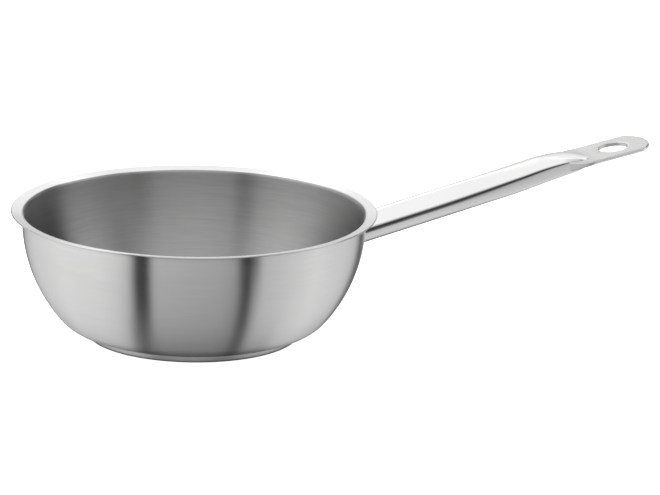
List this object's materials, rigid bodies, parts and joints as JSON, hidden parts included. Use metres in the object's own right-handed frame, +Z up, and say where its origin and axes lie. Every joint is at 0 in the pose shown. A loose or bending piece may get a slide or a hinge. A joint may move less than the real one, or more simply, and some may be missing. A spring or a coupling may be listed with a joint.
{
  "type": "saucier pan",
  "caption": "Round-bottomed stainless saucier pan with a flared pouring lip, a sandwich base and a long hollow handle pressed flat at the end round a hanging hole.",
  "frame": {"origin": "centre of the base's underside, where the pan stands", "axes": "+Z up along the bowl's axis; +X along the handle's heading, away from the bowl"},
  "size_m": [0.4024, 0.215, 0.0958],
  "materials": {
    "bowl_steel": "satin brushed",
    "cap_steel": "turned satin",
    "core_aluminium": "as rolled",
    "braze": "brazed film",
    "bracket_steel": "satin",
    "weld_steel": "as welded, cleaned",
    "handle_steel": "polished"
  },
  "bodies": {
    "root": {"bowl": "bowl_steel", "base_braze_upper": "braze", "base_core": "core_aluminium", "base_braze_lower": "braze", "base_cap": "cap_steel", "handle_bracket": "bracket_steel", "bracket_spot_welds": "weld_steel", "handle_tube": "handle_steel", "handle_root_weld": "weld_steel"}
  },
  "joints": []
}
